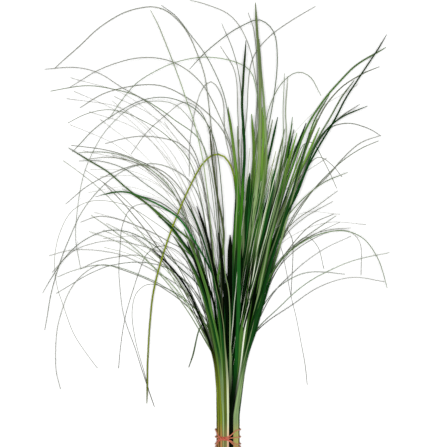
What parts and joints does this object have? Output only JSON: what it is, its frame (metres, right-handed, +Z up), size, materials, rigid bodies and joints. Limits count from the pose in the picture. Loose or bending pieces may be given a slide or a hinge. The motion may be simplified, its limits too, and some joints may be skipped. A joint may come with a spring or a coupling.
{
  "type": "bear grass bunch",
  "caption": "Bunch of long narrow green grass leaves, tied near the cut ends with a twisted band and laid down, fanning out into fine arching tips.",
  "frame": {"origin": "middle of the bottom of the whole bunch's box, on the table that it lies on", "axes": "+Y along the bunch from the cut ends to the tips, +X to the right seen from above with the tips up, +Z up from the table"},
  "size_m": [0.5608, 0.759, 0.1415],
  "materials": {
    "leaf": "fresh grass leaf, green with paler bases and olive tips, slightly waxy",
    "band": "tan to salmon rubber band, matte"
  },
  "bodies": {
    "root": {"leaf_layer_1_table": "leaf", "leaf_layer_2": "leaf", "leaf_layer_3": "leaf", "leaf_layer_4": "leaf", "leaf_layer_5": "leaf", "leaf_layer_6_top": "leaf", "twisted_band": "band"}
  },
  "joints": []
}
